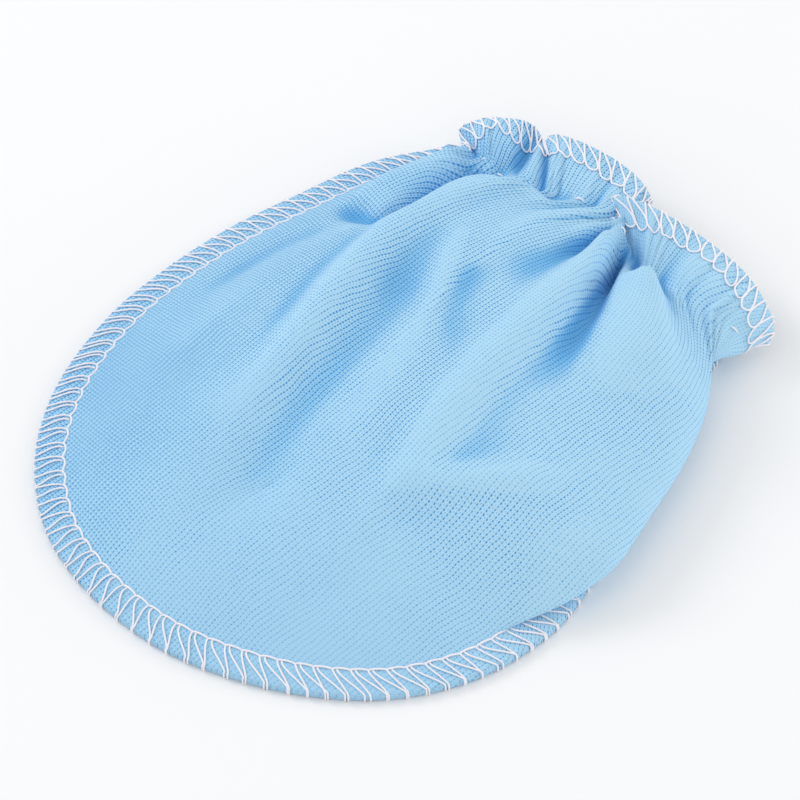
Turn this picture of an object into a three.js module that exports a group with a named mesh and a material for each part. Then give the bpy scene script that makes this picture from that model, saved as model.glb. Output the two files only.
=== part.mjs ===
// One baby's scratch mitten of thin jersey, lying puffed up on a table. Two cloth panels are sewn together
// round the hand with an overlocked edge left on the outside. An elastic inside draws the wrist in, and the
// cloth runs on past it as a ruffle.
// Millimetres. +Y points to the cuff, +X across the hand, +Z up, and the underside rests on Z = 0.
import * as THREE from "three";

// Cloth and sewing
const CLOTH = 1.0; // one layer of jersey with its nap
const SEAM_GAP = 0.3; // clearance between pieces that are sewn to each other
const SEAM_WIDTH = 4.3; // overlocked edge, from the needle line to the cut edge
const STEEPEST_CROSSING = 0.7; // least cosine between a row of the grid and the seam's normal
const SEAM_TOP = 2 * CLOTH + SEAM_GAP;
const ELASTIC_WIDTH = 4.0;
const ELASTIC_THICK = 0.7;
const ELASTIC_CLEARANCE = 0.8; // under the deepest gather that it passes
const ELASTIC_ENDS = { left: -0.8, right: 0.75 }; // shares of the cloth's width
const ELASTIC_REACH = 0.1; // share of the width over which it bridges the gathers
const ELASTIC_SQUARENESS = 24; // power of the turn at each side
const ELASTIC_FLOOR = 0.5; // height of the under panel's gathers that it lies on

const SKY_BLUE = 0x8fc6ea;
const ELASTIC_WHITE = 0xe8e8ec;

// Cells of each wall: along the body, along the ruffle, and from an edge to the middle
const UPPER_CELLS = { body: 30, ruffle: 5, half: 20 };
const LOWER_CELLS = { body: 22, ruffle: 4, half: 13 };
const SEAM_CELLS = 2; // of the half's cells, those on the overlocked edge
const ELASTIC_CELLS = 26;

// Cut edge of the seam, from the left of the wrist round the fingertips to the right of the wrist.
// On the right the seam is rolled under, so it lies a little further in.
const OUTLINE = [
  [-25.3, 41.6],
  [-31.6, 33.0],
  [-36.1, 20.9],
  [-39.8, 9.5],
  [-42.0, -3.0],
  [-42.4, -14.8],
  [-39.9, -28.2],
  [-34.2, -39.6],
  [-25.0, -48.6],
  [-13.9, -53.5],
  [-0.6, -55.2],
  [11.1, -53.4],
  [22.8, -48.7],
  [32.4, -41.6],
  [39.2, -31.6],
  [42.2, -19.8],
  [41.4, -10.0],
  [39.8, 0.0],
  [38.0, 10.0],
  [35.4, 20.0],
  [33.2, 29.5],
  [33.4, 36.0],
];
const FINGERTIP = 10; // the row of the outline at the fingertips

// Height of the body's crown along its length
const CROWN = [
  { y: -32, z: 8.6 },
  { y: -20, z: 11.2 },
  { y: -5, z: 12.8 },
  { y: 12, z: 13.6 },
  { y: 26, z: 13.2 },
  { y: 34, z: 11.4 },
  { y: 41, z: 9.4 },
];
const FULLNESS = { left: 1.7, right: 2.2, tip: 1.85 }; // power of the climb from the seam to the crown
const SPINE_TURN = -6; // below this Y the rows start to fan round the fingertips
const SPINE_SHARE = 0.62; // how far the fan's centre stays behind
const SPINE_EASE = 8;

// The right side rolls out over its seam, from the wrist down to where the seam comes into sight again.
// none and full are the Y where it starts and where it is complete, cells the share of the half's
// cells that make the roll's underside, and roundness how steeply the roll turns up.
const ROLL = {
  reach: 7.4,
  wristReach: 5.0,
  rise: 3.4,
  none: -29,
  full: -6,
  wrist: 38,
  cells: 0.26,
  roundness: 0.85,
};

// Gathers along the elastic, by the share of the cloth's width from the left seam (-1) to the right (1)
const GATHERS = [
  { at: -0.93, x: -19.6, y: 41.4, z: 6.0 },
  { at: -0.84, x: -16.8, y: 40.6, z: 5.6 },
  { at: -0.74, x: -13.9, y: 40.2, z: 7.0 },
  { at: -0.66, x: -11.6, y: 39.8, z: 6.2 },
  { at: -0.56, x: -8.4, y: 39.7, z: 8.2 },
  { at: -0.48, x: -6.0, y: 39.8, z: 6.9 },
  { at: -0.38, x: -3.1, y: 39.8, z: 8.6 },
  { at: -0.31, x: -1.1, y: 40.2, z: 7.6 },
  { at: -0.22, x: 1.3, y: 40.7, z: 9.2 },
  { at: -0.14, x: 3.5, y: 41.1, z: 7.8 },
  { at: -0.06, x: 5.5, y: 41.1, z: 9.4 },
  { at: 0.0, x: 7.1, y: 40.8, z: 8.2 },
  { at: 0.06, x: 8.8, y: 40.2, z: 9.4 },
  { at: 0.14, x: 10.9, y: 39.3, z: 6.4 },
  { at: 0.2, x: 12.1, y: 38.7, z: 6.8 },
  { at: 0.3, x: 14.4, y: 37.9, z: 9.8 },
  { at: 0.4, x: 17.5, y: 37.3, z: 10.6 },
  { at: 0.48, x: 20.1, y: 36.9, z: 9.8 },
  { at: 0.57, x: 23.1, y: 36.7, z: 10.8 },
  { at: 0.66, x: 25.9, y: 36.5, z: 10.0 },
  { at: 0.75, x: 28.7, y: 36.5, z: 9.9 },
  { at: 0.84, x: 32.0, y: 36.3, z: 7.6 },
  { at: 0.9, x: 34.4, y: 36.2, z: 5.8 },
  { at: 0.95, x: 33.0, y: 36.2, z: 3.9 },
];
const GATHER_LENGTH = 8.5; // how far down the body a gather dies away
const GATHER_FADE = 1.4; // power of that fading
const SEAM_HOLD = 0.14; // share of each half over which the seam keeps the folds down

// Cut edge of the ruffle: a first lobe, a second one, and a third that is folded back over the second
const RUFFLE_EDGE = [
  { at: -1.0, x: -20.8, y: 46.8, z: 2.3 },
  { at: -0.93, x: -22.0, y: 47.2, z: 5.4 },
  { at: -0.83, x: -19.6, y: 47.8, z: 8.2 },
  { at: -0.73, x: -15.4, y: 48.8, z: 8.2 },
  { at: -0.63, x: -12.2, y: 49.8, z: 6.8 },
  { at: -0.55, x: -11.2, y: 50.0, z: 4.4 },
  { at: -0.49, x: -10.4, y: 49.9, z: 6.2 },
  { at: -0.41, x: -7.4, y: 50.2, z: 8.2 },
  { at: -0.27, x: -1.8, y: 50.5, z: 9.0 },
  { at: -0.15, x: 3.0, y: 50.3, z: 8.8 },
  { at: -0.06, x: 6.5, y: 49.6, z: 7.9 },
  { at: 0.01, x: 9.2, y: 48.5, z: 6.6 },
  { at: 0.05, x: 9.6, y: 47.6, z: 7.0 },
  { at: 0.09, x: 8.2, y: 46.6, z: 7.5 },
  { at: 0.14, x: 5.9, y: 45.2, z: 7.9 },
  { at: 0.18, x: 5.2, y: 44.8, z: 9.2 },
  { at: 0.23, x: 7.0, y: 45.2, z: 10.5 },
  { at: 0.31, x: 10.8, y: 46.2, z: 10.5 },
  { at: 0.42, x: 15.6, y: 46.2, z: 9.6 },
  { at: 0.53, x: 21.3, y: 45.6, z: 9.2 },
  { at: 0.66, x: 27.4, y: 44.8, z: 8.4 },
  { at: 0.78, x: 32.8, y: 42.8, z: 7.0 },
  { at: 0.88, x: 35.8, y: 41.0, z: 5.4 },
  { at: 0.93, x: 35.6, y: 40.8, z: 4.4 },
  { at: 0.97, x: 33.2, y: 41.0, z: 3.6 },
  { at: 1.0, x: 29.6, y: 42.0, z: 2.3 },
];
const CUFF_CORNERS = { left: [-24.6, 46.0], right: [33.6, 41.6] };
const LOWER_EDGE_BULGE = 3.4; // how far the under ruffle's edge bows out past the corners

// Folds of the upper panel: how far each stands up or sinks, its half width, the share of its
// length over which it fades in and out, and the way it runs
const FOLDS = [
  {
    name: "ridge by the left seam",
    rise: 1.7,
    spread: 3.0,
    fade: [0.05, 0.4],
    route: [[-17.5, 41], [-20, 37], [-23, 31.5], [-26, 26], [-30, 20.5]],
  },
  {
    name: "hooked valley beside it",
    rise: -2.5,
    spread: 2.3,
    fade: [0.05, 0.5],
    route: [[-17, 39.5], [-18, 35], [-18.8, 29], [-20.1, 22.8], [-23.7, 20], [-28.5, 16]],
  },
  {
    name: "long ridge to the fingertips",
    rise: 2.4,
    spread: 4.6,
    fade: [0.05, 0.55],
    route: [
      [-6, 39], [-10, 35], [-13.5, 30], [-15.2, 23], [-15.5, 15], [-14.6, 5],
      [-13.2, -8], [-13, -17], [-15, -26], [-19, -40],
    ],
  },
  {
    name: "small valley above that ridge",
    rise: -1.5,
    spread: 1.5,
    fade: [0.05, 0.5],
    route: [[-6, 40], [-9.5, 38], [-12.5, 36.4], [-15.5, 34]],
  },
  {
    name: "broad trough beside it",
    rise: -1.7,
    spread: 5.0,
    fade: [0.2, 0.4],
    route: [
      [-9.5, 24], [-9.5, 13], [-7.4, -2.6], [-3.7, -16.5], [-3.2, -27], [-2.2, -36],
      [-0.3, -46],
    ],
  },
  {
    name: "thin ridge in the middle",
    rise: 0.9,
    spread: 1.7,
    fade: [0.3, 0.5],
    route: [[-7, 26], [-5, 20], [-1, 12.4], [3, 4]],
  },
  {
    name: "dip below the wrist",
    rise: -2.6,
    spread: 3.8,
    fade: [0.05, 0.4],
    route: [[5.5, 40], [6, 34], [4.7, 27.5], [1.6, 22.4], [-2, 19]],
  },
  {
    name: "finger of cloth by the crease",
    rise: 2.0,
    spread: 3.8,
    fade: [0.1, 0.5],
    route: [
      [9.5, 38], [11, 31], [11.4, 24], [11.7, 15], [12.3, 5], [12.9, -4],
      [14, -13], [14.2, -21], [13.6, -30], [13, -39],
    ],
  },
  {
    name: "deep crease",
    rise: -5.0,
    spread: 2.0,
    fade: [0.05, 0.45],
    route: [[10.9, 39.3], [13.6, 36], [15.6, 30], [17.1, 23], [18.4, 16], [19.2, 10]],
  },
  {
    name: "hollow that the crease ends in",
    rise: -1.6,
    spread: 4.5,
    fade: [0.3, 0.5],
    route: [[17.5, 20], [19.5, 11], [22, 4]],
  },
  {
    name: "bulge on the right",
    rise: 2.6,
    spread: 7.0,
    fade: [0.25, 0.4],
    route: [[21, 35], [24.5, 26], [28.5, 18], [32, 10]],
  },
  {
    name: "ridge across to the right",
    rise: 1.5,
    spread: 3.6,
    fade: [0.15, 0.4],
    route: [[14.3, -21], [17.7, -17], [21.2, -14], [26.3, -9], [30.4, -5], [34, 1]],
  },
  {
    name: "slack above the fingertips",
    rise: -1.0,
    spread: 4.0,
    fade: [0.3, 0.5],
    route: [[19, -33], [16.3, -38.5], [13, -43]],
  },
  {
    name: "soft ridge on the left",
    rise: 0.7,
    spread: 3.0,
    fade: [0.3, 0.5],
    route: [[-28, -22], [-27.5, -12], [-26.5, -2], [-24, 8]],
  },
];
const FOLD_STEPS = 48; // places looked at along a fold's route

// The under panel lies flat. Its gathers lift it a little at the wrist and more at the ruffle's edge
const UNDER_WAVES = { count: 11, atElastic: 0.2, atEdge: 1.7, fade: 9, seamHold: 0.25, unevenness: 0.06 };

const clamp = THREE.MathUtils.clamp;
const lerp = THREE.MathUtils.lerp;
const smoothstep = THREE.MathUtils.smoothstep;

// Reads a table between its rows with a cubic, by the column that key names
function reader(rows, key) {
  const slope = (name, i) => {
    const before = rows[Math.max(i - 1, 0)];
    const after = rows[Math.min(i + 1, rows.length - 1)];
    return (after[name] - before[name]) / (after[key] - before[key]);
  };
  return (at, name) => {
    let i = 0;
    while (i < rows.length - 2 && at > rows[i + 1][key]) i += 1;
    const step = rows[i + 1][key] - rows[i][key];
    const t = clamp((at - rows[i][key]) / step, 0, 1);
    const [t2, t3] = [t * t, t * t * t];
    return (
      (2 * t3 - 3 * t2 + 1) * rows[i][name] +
      (t3 - 2 * t2 + t) * step * slope(name, i) +
      (3 * t2 - 2 * t3) * rows[i + 1][name] +
      (t3 - t2) * step * slope(name, i + 1)
    );
  };
}

const vectors = (pairs) => pairs.map(([x, y]) => new THREE.Vector2(x, y));
const outline = new THREE.SplineCurve(vectors(OUTLINE));
const crown = reader(CROWN, "y");

// Where a row of the grid starts on the outline. Rows run from the wrist (0) to the fingertips (1).
function outlineParameter(side, row) {
  const tip = FINGERTIP / (OUTLINE.length - 1);
  return side < 0 ? tip * row : 1 - (1 - tip) * row;
}

// Where the rows of both sides meet: the spine, which stays behind the fingertips
function spineAt(row) {
  const left = outline.getPoint(outlineParameter(-1, row));
  const right = outline.getPoint(outlineParameter(1, row));
  const y = (left.y + right.y) / 2;
  const past = Math.max(0, SPINE_TURN - y);
  const behind = (SPINE_SHARE * past * past) / (past + SPINE_EASE);
  return new THREE.Vector2((left.x + right.x) / 2, y + behind);
}

// Cut edge, needle line and spine of one row
function rowFrame(side, row) {
  const at = outlineParameter(side, row);
  const edge = outline.getPoint(at);
  const spine = spineAt(row);
  const tangent = outline.getTangent(clamp(at, 0.001, 0.999));
  const inward = new THREE.Vector2(-tangent.y, tangent.x);
  const way = spine.clone().sub(edge).normalize();
  const needle = edge.clone().addScaledVector(way, SEAM_WIDTH / Math.max(STEEPEST_CROSSING, way.dot(inward)));
  return { edge, needle, spine };
}

// Point of the body's plain form. across runs from the needle line (0) to the spine (1).
function plainBody(side, row, across) {
  const { needle, spine } = rowFrame(side, row);
  const top = crown(spine.y, "z");
  const fullness = lerp(side < 0 ? FULLNESS.left : FULLNESS.right, FULLNESS.tip, smoothstep(row, 0.6, 1));
  const rolled = side < 0 ? 0 : smoothstep(needle.y, ROLL.none, ROLL.full);
  const reach = rolled * lerp(ROLL.reach, ROLL.wristReach, smoothstep(needle.y, 0, ROLL.wrist));
  const outer = needle.clone();
  outer.x += reach;
  const outerZ = SEAM_TOP + ROLL.rise * rolled;
  const rollCells = ROLL.cells * rolled;
  if (across < rollCells) {
    const turn = across / rollCells;
    const swing = turn * turn * (3 - 2 * turn);
    const height = lerp(SEAM_TOP, outerZ, turn);
    return new THREE.Vector3(lerp(needle.x, outer.x, swing), needle.y, height);
  }
  const share = (across - rollCells) / (1 - rollCells);
  const round = 1 - Math.cos((share * Math.PI) / 2);
  const move = lerp(share, round, ROLL.roundness * rolled);
  const climb = 1 - (1 - share) ** fullness;
  const plan = outer.lerp(spine, move);
  return new THREE.Vector3(plan.x, plan.y, lerp(outerZ, top, climb));
}

const folds = FOLDS.map((fold) => {
  const route = new THREE.SplineCurve(vectors(fold.route));
  return { ...fold, places: route.getPoints(FOLD_STEPS) };
});

// How far all the folds together lift a point of the upper panel
function foldHeight(x, y) {
  let height = 0;
  for (const { rise, spread, fade, places } of folds) {
    let nearest = Infinity;
    let place = 0;
    places.forEach((p, i) => {
      const distance = Math.hypot(p.x - x, p.y - y);
      if (distance < nearest) {
        nearest = distance;
        place = i / FOLD_STEPS;
      }
    });
    const strength = smoothstep(place, 0, fade[0]) * smoothstep(1 - place, 0, fade[1]);
    height += rise * strength * Math.exp(-((nearest / spread) ** 2));
  }
  return height;
}

const gather = reader(
  [
    { at: -1, ...plainBody(-1, 0, 0) },
    ...GATHERS,
    { at: 1, ...plainBody(1, 0, 0) },
  ],
  "at",
);
const ruffleEdge = reader(RUFFLE_EDGE, "at");
const gathered = (at) => new THREE.Vector3(gather(at, "x"), gather(at, "y"), gather(at, "z"));
const ruffled = (at) => new THREE.Vector3(ruffleEdge(at, "x"), ruffleEdge(at, "y"), ruffleEdge(at, "z"));

// Share of the cloth's width, from -1 to 1, for a place between a needle line and the spine
const clothShare = (side, across) => side * (1 - across);

// Outer face of the upper panel's body, between the needle lines
function upperBody(side, row, across) {
  const point = plainBody(side, row, across);
  const start = plainBody(side, 0, across);
  const distance = point.distanceTo(start);
  const held = Math.exp(-((distance / GATHER_LENGTH) ** GATHER_FADE));
  const free = smoothstep(across, 0, SEAM_HOLD) * smoothstep(distance, 0, GATHER_LENGTH);
  const lift = foldHeight(point.x, point.y) * free;
  point.addScaledVector(gathered(clothShare(side, across)).sub(start), held);
  point.z = Math.max(point.z + lift, SEAM_TOP);
  return point;
}

const corner = (side) => new THREE.Vector2(...(side < 0 ? CUFF_CORNERS.left : CUFF_CORNERS.right));

// Point on the overlocked edge. across runs from the cut edge (0) to the needle line (1).
function seamPoint(side, row, beyond, across, needleEnd) {
  const { edge, needle } = rowFrame(side, row);
  const from = edge.lerp(corner(side), beyond);
  const to = needle.lerp(needleEnd, beyond);
  const plan = from.lerp(to, across);
  return new THREE.Vector3(plan.x, plan.y, SEAM_TOP);
}

// Grid place to shares: rows count from the ruffle's edge to the fingertips, columns from left to right
function gridShares(cells, i, j) {
  const side = j <= cells.half ? -1 : 1;
  const inset = side < 0 ? j : 2 * cells.half - j;
  return {
    side,
    beyond: clamp(1 - i / cells.ruffle, 0, 1),
    row: clamp((i - cells.ruffle) / cells.body, 0, 1),
    seam: inset / SEAM_CELLS,
    across: (inset - SEAM_CELLS) / (cells.half - SEAM_CELLS),
  };
}

function upperPoint(i, j) {
  const { side, beyond, row, seam, across } = gridShares(UPPER_CELLS, i, j);
  if (seam < 1) {
    const end = ruffled(side);
    return seamPoint(side, row, beyond, seam, new THREE.Vector2(end.x, end.y));
  }
  const body = upperBody(side, row, across);
  return beyond > 0 ? body.lerp(ruffled(clothShare(side, across)), beyond) : body;
}

// Upper face of the under panel
function lowerPoint(i, j) {
  const { side, beyond, row, seam, across } = gridShares(LOWER_CELLS, i, j);
  const { needle, spine } = rowFrame(side, row);
  const end = ruffled(side);
  if (seam < 1) {
    const flat = seamPoint(side, row, beyond, seam, new THREE.Vector2(end.x, end.y));
    return flat.setZ(CLOTH);
  }
  const middle = corner(-1).lerp(corner(1), 0.5);
  middle.y += LOWER_EDGE_BULGE;
  const bowed = Math.sin((across * Math.PI) / 2);
  const bow = new THREE.Vector2(lerp(end.x, middle.x, across), lerp(end.y, middle.y, bowed));
  const plan = needle.lerp(spine, across).lerp(bow, beyond);
  const share = clothShare(side, across);
  const fromWrist = row * (OUTLINE[0][1] - OUTLINE[FINGERTIP][1]);
  const fading = Math.exp(-fromWrist / UNDER_WAVES.fade);
  const size = lerp(UNDER_WAVES.atElastic, UNDER_WAVES.atEdge, beyond) * fading;
  const place = share + UNDER_WAVES.unevenness * Math.sin(5 * share);
  const wave = 0.5 - 0.5 * Math.cos(Math.PI * UNDER_WAVES.count * place);
  return new THREE.Vector3(plan.x, plan.y, CLOTH + size * wave * smoothstep(across, 0, UNDER_WAVES.seamHold));
}

// Grid of vertices whose last row is folded together along its middle, at the fingertips
function gridOf(cells, pointAt) {
  const rows = cells.ruffle + cells.body;
  const columns = 2 * cells.half;
  const points = [];
  const numbers = [];
  for (let i = 0; i <= rows; i += 1) {
    const line = [];
    for (let j = 0; j <= columns; j += 1) {
      const twin = i === rows && j > cells.half;
      line.push(twin ? line[columns - j] : points.push(pointAt(i, j)) - 1);
    }
    numbers.push(line);
  }
  return { rows, columns, points, numbers };
}

// Closed wall between a grid and the same grid moved by offsetOf(vertex number)
function wallOf({ rows, columns, points, numbers }, offsetOf) {
  const below = points.length;
  const corners = [...points, ...points.map((p, n) => p.clone().add(offsetOf(n)))];
  const faces = [];
  const quad = (a, b, c, d) => faces.push(a, b, c, a, c, d);
  for (let i = 0; i < rows; i += 1) {
    for (let j = 0; j < columns; j += 1) {
      const [a, b] = [numbers[i][j], numbers[i + 1][j]];
      const [c, d] = [numbers[i + 1][j + 1], numbers[i][j + 1]];
      quad(a, b, c, d);
      quad(a + below, d + below, c + below, b + below);
    }
  }
  const edge = [];
  for (let i = rows; i > 0; i -= 1) edge.push(numbers[i][0]);
  for (let j = 0; j < columns; j += 1) edge.push(numbers[0][j]);
  for (let i = 0; i < rows; i += 1) edge.push(numbers[i][columns]);
  edge.forEach((a, n) => {
    const b = edge[(n + 1) % edge.length];
    quad(b, b + below, a + below, a);
  });
  return geometryOf(corners, faces);
}

function geometryOf(corners, faces) {
  const geometry = new THREE.BufferGeometry().setFromPoints(corners);
  geometry.setIndex(faces);
  geometry.computeVertexNormals();
  return geometry;
}

// Upward normals of a grid's vertices
function normalsOf({ rows, columns, points, numbers }) {
  const faces = [];
  for (let i = 0; i < rows; i += 1) {
    for (let j = 0; j < columns; j += 1) {
      const [a, b] = [numbers[i][j], numbers[i + 1][j]];
      const [c, d] = [numbers[i + 1][j + 1], numbers[i][j + 1]];
      faces.push(a, b, c, a, c, d);
    }
  }
  const normals = geometryOf(points, faces).getAttribute("normal");
  return points.map((_, n) => new THREE.Vector3().fromBufferAttribute(normals, n));
}

function upperPanel() {
  const grid = gridOf(UPPER_CELLS, upperPoint);
  const normals = normalsOf(grid);
  grid.numbers.forEach((line) => {
    for (let inset = 0; inset < SEAM_CELLS; inset += 1) {
      normals[line[inset]].set(0, 0, 1);
      normals[line[grid.columns - inset]].set(0, 0, 1);
    }
  });
  return wallOf(grid, (n) => normals[n].clone().multiplyScalar(-CLOTH));
}

function lowerPanel() {
  return wallOf(gridOf(LOWER_CELLS, lowerPoint), () => new THREE.Vector3(0, 0, -CLOTH));
}

// Closed band inside the wrist: it runs under the gathers from left to right and back over the under panel
function wristElastic() {
  const top = [];
  const bottom = [];
  for (let n = 0; n <= ELASTIC_CELLS; n += 1) {
    const share = lerp(ELASTIC_ENDS.left, ELASTIC_ENDS.right, n / ELASTIC_CELLS);
    const place = gathered(share);
    let lowest = Infinity;
    for (let step = -ELASTIC_REACH; step <= ELASTIC_REACH; step += ELASTIC_REACH / 4) {
      lowest = Math.min(lowest, gathered(share + step).z);
    }
    const rounded = 1 - Math.abs((2 * n) / ELASTIC_CELLS - 1) ** ELASTIC_SQUARENESS;
    const floor = SEAM_TOP - CLOTH + ELASTIC_FLOOR;
    const ceiling = lowest - CLOTH - ELASTIC_CLEARANCE;
    const middle = (floor + ceiling) / 2;
    top.push(new THREE.Vector3(place.x, place.y, lerp(middle, ceiling, rounded)));
    if (rounded > 0) bottom.unshift(new THREE.Vector3(place.x, place.y, lerp(middle, floor, rounded)));
  }
  const loop = [...top, ...bottom];
  const corners = [];
  loop.forEach((point, n) => {
    const before = loop.at(n - 1);
    const after = loop[(n + 1) % loop.length];
    const inward = new THREE.Vector3(after.z - before.z, 0, before.x - after.x).normalize();
    const inner = point.clone().addScaledVector(inward, ELASTIC_THICK);
    for (const rail of [point, inner]) {
      for (const end of [-1, 1]) corners.push(rail.clone().setY(point.y + (end * ELASTIC_WIDTH) / 2));
    }
  });
  const faces = [];
  const quad = (a, b, c, d) => faces.push(a, b, c, a, c, d);
  loop.forEach((_, n) => {
    const [a, b] = [4 * n, 4 * ((n + 1) % loop.length)];
    quad(a, b, b + 1, a + 1);
    quad(a + 2, a + 3, b + 3, b + 2);
    quad(a, a + 2, b + 2, b);
    quad(a + 1, b + 1, b + 3, a + 3);
  });
  return geometryOf(corners, faces);
}

const cloth = (colour) => new THREE.MeshStandardMaterial({ color: colour, roughness: 0.92, metalness: 0 });

const mitten = new THREE.Group();
mitten.name = "mitten";
const pieces = [
  { name: "upper_panel", geometry: upperPanel(), colour: SKY_BLUE },
  { name: "lower_panel", geometry: lowerPanel(), colour: SKY_BLUE },
  { name: "wrist_elastic", geometry: wristElastic(), colour: ELASTIC_WHITE },
];
for (const { name, geometry, colour } of pieces) {
  const mesh = new THREE.Mesh(geometry, cloth(colour));
  mesh.name = name;
  mitten.add(mesh);
}

// The origin is on the table, under the middle of the mitten
const box = new THREE.Box3().setFromObject(mitten);
const centre = box.getCenter(new THREE.Vector3());
mitten.position.set(-centre.x, -centre.y, -box.min.z);

export default mitten;
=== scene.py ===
import math

import bpy
import numpy as np
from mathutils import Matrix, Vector


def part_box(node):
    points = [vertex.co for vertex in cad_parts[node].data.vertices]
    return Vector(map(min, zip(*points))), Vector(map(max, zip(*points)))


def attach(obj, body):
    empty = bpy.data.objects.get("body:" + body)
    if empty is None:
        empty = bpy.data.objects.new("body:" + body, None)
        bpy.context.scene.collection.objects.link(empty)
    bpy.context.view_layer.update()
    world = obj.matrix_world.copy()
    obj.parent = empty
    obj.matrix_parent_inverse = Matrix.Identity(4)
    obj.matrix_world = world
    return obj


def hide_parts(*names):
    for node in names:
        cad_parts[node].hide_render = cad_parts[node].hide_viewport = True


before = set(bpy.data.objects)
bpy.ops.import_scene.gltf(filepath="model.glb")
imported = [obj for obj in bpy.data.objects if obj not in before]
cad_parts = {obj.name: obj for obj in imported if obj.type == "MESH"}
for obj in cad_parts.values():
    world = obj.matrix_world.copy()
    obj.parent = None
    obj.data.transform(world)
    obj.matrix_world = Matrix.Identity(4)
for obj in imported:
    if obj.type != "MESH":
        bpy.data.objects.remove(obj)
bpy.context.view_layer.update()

MM = 0.001  # the tables below are in millimetres, and Blender's objects in metres
TINY = 1e-9  # keeps a division from dividing by nothing

# Cloth and sewing
JERSEY = 0.7  # one layer of jersey
SEAM_WIDTH = 3.9  # overlocked edge, from the needle line to the cut edge
CUFF_SEAM_WIDTH = 4.2  # the same along the ruffle
SEAM_TOP = 1.75  # height of the overlocked edge's upper face at the needle line
EDGE_SQUEEZE = 0.65  # how much lower the stitches press it at the cut edge
EDGE_THINNING = 0.3  # how much of a layer's thickness they press out there
STEEPEST_CROSSING = 0.7  # least cosine between a row of the cloth and the seam's normal
INSIDE_NEEDLE = 1.01  # just past the needle line, in widths of the overlocked edge
THREAD_ROOM = 0.3  # height of the under layer at the seam, with the thread under it
THREAD_ROOM_FADE = 0.08  # share of the way across over which that dies away
CUFF_THREAD_ROOM = 0.44  # its height at the ruffle's edge
CUFF_LIFT_ENDS = (0.01, 0.08)  # rows of the body over which that dies away
UNDER_TOP = 0.98  # height of the under layer's upper face at the seam

# Cells of each panel: along the body, along the ruffle, from an edge to the middle, and how many
# of those lie on the overlocked edge
UPPER_CELLS = {"body": 176, "ruffle": 34, "half": 104, "seam": 6}
LOWER_CELLS = {"body": 110, "ruffle": 22, "half": 66, "seam": 4}

# Cut edge of the seam, from the left of the wrist round the fingertips to the right of the wrist
OUTLINE = [
    (-25.3, 41.6),
    (-31.6, 33.0),
    (-36.1, 20.9),
    (-39.8, 9.5),
    (-42.0, -3.0),
    (-42.4, -14.8),
    (-39.9, -28.2),
    (-34.2, -39.6),
    (-25.0, -48.6),
    (-13.9, -53.5),
    (-0.6, -55.2),
    (11.1, -53.4),
    (22.8, -48.7),
    (32.4, -41.6),
    (39.2, -31.6),
    (42.2, -19.8),
    (41.4, -10.0),
    (39.8, 0.0),
    (38.0, 10.0),
    (35.2, 20.0),
    (32.4, 29.5),
    (31.6, 36.0),
]
FINGERTIP = 10  # the row of the outline at the fingertips
OUTLINE_READINGS = 2001  # places that its lowest and leftmost points are looked for at
OUTLINE_STEP = 0.0001  # share of the outline that its direction is read over
OUTLINE_ENDS = (0.001, 0.999)  # first and last place that it is read at

# Height of the body's crown along its length
CROWN = {
    "columns": "y z",
    "rows": [(-32, 8.6), (-20, 11.2), (-5, 12.8), (12, 13.6), (26, 13.2), (34, 11.4), (41, 9.4)],
}
# Power of the climb from the seam to the crown, and the rows over which it changes to the fingertips' own
FULLNESS = {"left": 1.7, "right": 2.2, "tip": 1.85, "tip_rows": (0.6, 1)}
SPINE_TURN = -6  # below this Y the rows start to fan round the fingertips
SPINE_SHARE = 0.62  # how far the fan's centre stays behind
SPINE_EASE = 8  # length over which it starts to

# The right side rolls out over its seam, from the wrist down to where the seam comes into sight again
ROLL = {
    "reach": 7.4,
    "wrist_reach": 8.8,
    "rise": 3.6,
    "wrist_rise": 1.5,
    "grows": (-29, -6),  # places along the mitten between which it grows to its whole size
    "wrist": (0, 38),  # places between which it takes on its size at the wrist
    "cells": 0.26,  # share of the way across that lies under it
    "roundness": 0.85,
}

# Gathers along the elastic, by the share of the cloth's width from the left seam (-1) to the right (1)
GATHERS = {
    "columns": "at x y z",
    "rows": [
        (-0.93, -19.6, 41.2, 6.0),
        (-0.84, -17.0, 40.5, 5.4),
        (-0.74, -14.1, 39.8, 7.0),
        (-0.66, -11.8, 39.2, 6.0),
        (-0.58, -9.4, 39.2, 7.6),
        (-0.5, -6.8, 39.6, 8.0),
        (-0.44, -4.6, 39.4, 6.8),
        (-0.38, -2.8, 39.0, 8.4),
        (-0.31, -0.8, 39.4, 7.8),
        (-0.22, 1.6, 40.1, 9.0),
        (-0.14, 3.7, 40.8, 8.0),
        (-0.06, 5.7, 41.0, 9.2),
        (0.0, 7.3, 40.8, 8.2),
        (0.06, 8.9, 40.2, 9.2),
        (0.13, 10.7, 39.4, 8.6),
        (0.2, 12.5, 38.6, 6.6),
        (0.27, 14.4, 37.5, 5.8),
        (0.34, 16.3, 36.4, 8.0),
        (0.41, 18.3, 35.6, 9.4),
        (0.48, 20.4, 35.1, 8.5),
        (0.57, 23.3, 34.8, 9.6),
        (0.66, 26.2, 34.8, 8.7),
        (0.75, 29.2, 34.9, 8.8),
        (0.84, 32.4, 35.2, 7.4),
        (0.9, 34.4, 35.4, 5.4),
        (0.95, 34.9, 35.5, 3.3),
    ],
}
GATHER_LENGTH = 8.5  # how far down the body a gather dies away
GATHER_FADE = 1.4  # power of that fading
FOLD_START = 4.5  # how far below the elastic a fold has its whole height
SEAM_HOLD = 0.14  # share of each half over which the seam keeps the folds down

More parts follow.
